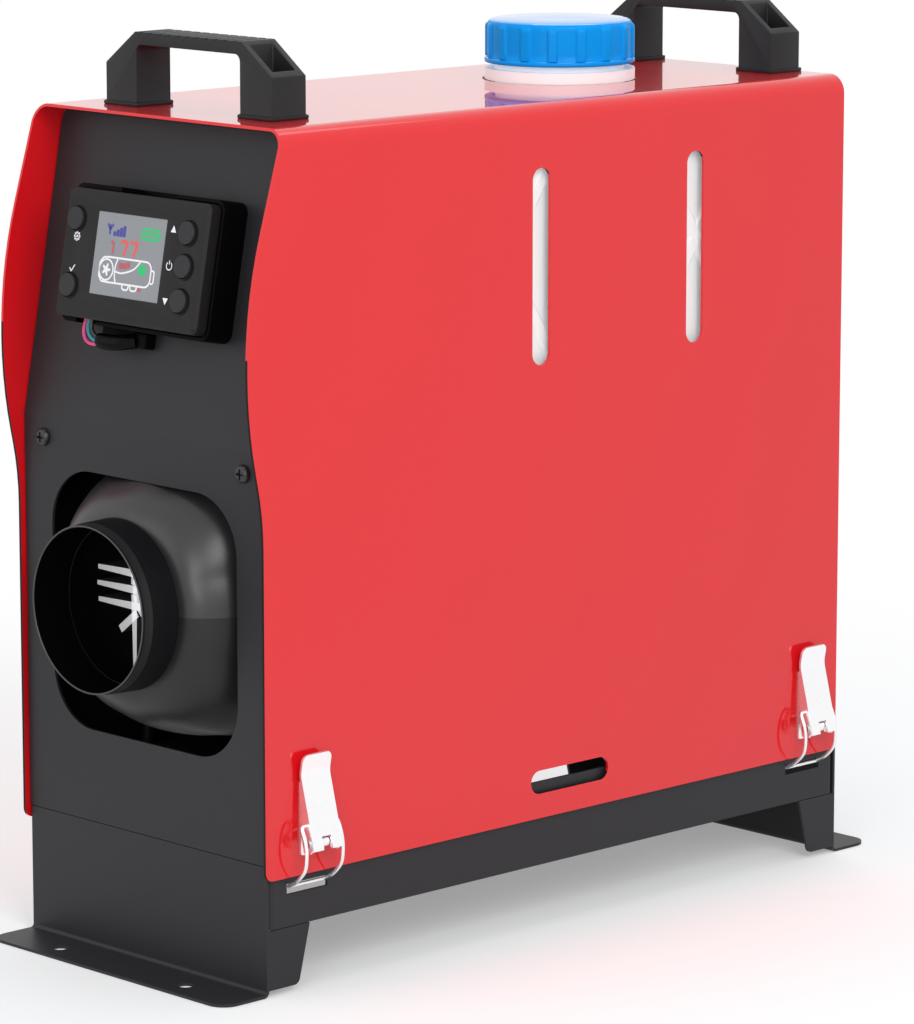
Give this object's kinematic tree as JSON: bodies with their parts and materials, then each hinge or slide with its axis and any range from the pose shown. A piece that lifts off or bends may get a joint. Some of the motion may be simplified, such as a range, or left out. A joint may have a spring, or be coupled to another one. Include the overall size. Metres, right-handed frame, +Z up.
{
  "type": "diesel air heater",
  "caption": "Portable diesel air heater in an upright sheet-metal case with lift-off latched cover, fuel tank, controller, hot-air spigot and carrying handles.",
  "frame": {"origin": "on the floor, at the centre of the four bolt holes in the feet", "axes": "+Z up; the hot-air spigot and the controller face -Y; +X is to the right of someone who stands behind the unit and looks towards the hot-air end"},
  "size_m": [0.171, 0.3889, 0.3739],
  "materials": {
    "black_sheet": "satin powder coat",
    "red_paint": "gloss powder coat",
    "black_plastic": "fine grain",
    "steel": "zinc plated",
    "bright_steel": "nickel plated",
    "white_plastic": "blow-moulded",
    "blue_plastic": "gloss",
    "rubber": "matte",
    "cast_aluminium": "as cast",
    "clear_plastic": "translucent",
    "screen": "gloss",
    "board": "solder mask",
    "button_plastic": "fine grain",
    "wire": "insulated wire"
  },
  "bodies": {
    "heater_case": {"blower_housing": "cast_aluminium", "blower_motor": "black_sheet", "combustion_air_pipe": "black_plastic", "combustion_tube": "steel", "control_board": "board", "control_unit": "black_plastic", "controller_back": "black_plastic", "controller_cradle": "black_plastic", "controller_front": "black_plastic", "controller_screen": "screen", "cover": "red_paint", "exhaust_pipe": "steel", "foot_gasket": "rubber", "front_handle": "black_plastic", "front_leg": "black_sheet", "front_panel": "black_sheet", "fuel_filter": "clear_plastic", "fuel_hoses": "rubber", "fuel_pump": "steel", "fuel_tank": "white_plastic", "glow_plug": "steel", "handle_screws": "steel", "heat_exchanger": "cast_aluminium", "heater_shelf": "black_sheet", "heater_studs": "steel", "intake_cowl": "black_plastic", "latch_pins": "steel", "latch_plates": "steel", "lead_sleeve": "rubber", "lead_wires": "wire", "left_rail": "black_sheet", "lower_casing": "black_plastic", "outlet_spigot": "black_plastic", "panel_screws": "steel", "pump_clamp": "steel", "pump_sleeve": "rubber", "rear_handle": "black_plastic", "rear_leg": "black_sheet", "rear_panel": "black_sheet", "right_rail": "black_sheet", "tank_tray": "black_sheet", "upper_casing": "black_plastic"},
    "latch_lever_front_right": {"latch_lever_front_right": "bright_steel"},
    "latch_bail_front_right": {"latch_bail_front_right": "bright_steel"},
    "latch_lever_front_left": {"latch_lever_front_left": "bright_steel"},
    "latch_bail_front_left": {"latch_bail_front_left": "bright_steel"},
    "latch_lever_rear_right": {"latch_lever_rear_right": "bright_steel"},
    "latch_bail_rear_right": {"latch_bail_rear_right": "bright_steel"},
    "latch_lever_rear_left": {"latch_lever_rear_left": "bright_steel"},
    "latch_bail_rear_left": {"latch_bail_rear_left": "bright_steel"},
    "cap_seal": {"cap_liner": "rubber"},
    "fuel_cap": {"fuel_cap": "blue_plastic"},
    "button_up": {"button_up": "button_plastic"},
    "button_power": {"button_power": "button_plastic"},
    "button_down": {"button_down": "button_plastic"},
    "button_settings": {"button_settings": "button_plastic"},
    "button_confirm": {"button_confirm": "button_plastic"},
    "blower_rotor": {"rotor_shaft": "steel", "burner_fan": "black_plastic", "air_fan": "black_plastic"}
  },
  "joints": [
    {"name": "latch_open_front_right", "type": "hinge", "parent": "heater_case", "child": "latch_lever_front_right", "pos_m": [0.0815, -0.1464, 0.0617], "axis": [0, 1, 0], "range_deg": [0, 140]},
    {"name": "latch_bail_swing_front_right", "type": "hinge", "parent": "latch_lever_front_right", "child": "latch_bail_front_right", "pos_m": [0.0802, -0.1464, 0.0688], "axis": [0, 1, 0], "range_deg": [-140, 0]},
    {"name": "latch_open_front_left", "type": "hinge", "parent": "heater_case", "child": "latch_lever_front_left", "pos_m": [-0.0815, -0.1464, 0.0617], "axis": [0, -1, 0], "range_deg": [0, 140]},
    {"name": "latch_bail_swing_front_left", "type": "hinge", "parent": "latch_lever_front_left", "child": "latch_bail_front_left", "pos_m": [-0.0802, -0.1464, 0.0688], "axis": [0, -1, 0], "range_deg": [-140, 0]},
    {"name": "latch_open_rear_right", "type": "hinge", "parent": "heater_case", "child": "latch_lever_rear_right", "pos_m": [0.0815, 0.1464, 0.0617], "axis": [0, 1, 0], "range_deg": [0, 140]},
    {"name": "latch_bail_swing_rear_right", "type": "hinge", "parent": "latch_lever_rear_right", "child": "latch_bail_rear_right", "pos_m": [0.0802, 0.1464, 0.0688], "axis": [0, 1, 0], "range_deg": [-140, 0]},
    {"name": "latch_open_rear_left", "type": "hinge", "parent": "heater_case", "child": "latch_lever_rear_left", "pos_m": [-0.0815, 0.1464, 0.0617], "axis": [0, -1, 0], "range_deg": [0, 140]},
    {"name": "latch_bail_swing_rear_left", "type": "hinge", "parent": "latch_lever_rear_left", "child": "latch_bail_rear_left", "pos_m": [-0.0802, 0.1464, 0.0688], "axis": [0, -1, 0], "range_deg": [-140, 0]},
    {"name": "cap_lift", "type": "slide", "parent": "heater_case", "child": "cap_seal", "axis": [0, 0, 1], "range_m": [0, 0.021]},
    {"name": "cap_turn", "type": "hinge", "parent": "cap_seal", "child": "fuel_cap", "pos_m": [0, 0.0676, 0.3509], "axis": [0, 0, 1], "range_deg": [0, 1080]},
    {"name": "press_up", "type": "slide", "parent": "heater_case", "child": "button_up", "axis": [0, 0.9833, -0.1822], "range_m": [0, 0.0008], "stiffness_N_per_m": 400},
    {"name": "press_power", "type": "slide", "parent": "heater_case", "child": "button_power", "axis": [0, 0.9833, -0.1822], "range_m": [0, 0.0008], "stiffness_N_per_m": 400},
    {"name": "press_down", "type": "slide", "parent": "heater_case", "child": "button_down", "axis": [0, 0.9833, -0.1822], "range_m": [0, 0.0008], "stiffness_N_per_m": 400},
    {"name": "press_settings", "type": "slide", "parent": "heater_case", "child": "button_settings", "axis": [0, 0.9833, -0.1822], "range_m": [0, 0.0008], "stiffness_N_per_m": 400},
    {"name": "press_confirm", "type": "slide", "parent": "heater_case", "child": "button_confirm", "axis": [0, 0.9833, -0.1822], "range_m": [0, 0.0008], "stiffness_N_per_m": 400},
    {"name": "blower_spin", "type": "hinge", "parent": "heater_case", "child": "blower_rotor", "pos_m": [0, 0, 0.15], "axis": [0, 1, 0], "continuous": true}
  ],
  "couplings": [
    {"joint": "latch_bail_swing_front_right", "follows": "latch_open_front_right", "ratio": -1},
    {"joint": "latch_bail_swing_front_left", "follows": "latch_open_front_left", "ratio": -1},
    {"joint": "latch_bail_swing_rear_right", "follows": "latch_open_rear_right", "ratio": -1},
    {"joint": "latch_bail_swing_rear_left", "follows": "latch_open_rear_left", "ratio": -1},
    {"joint": "cap_turn", "follows": "cap_lift", "rad_per_m": 897.6}
  ]
}
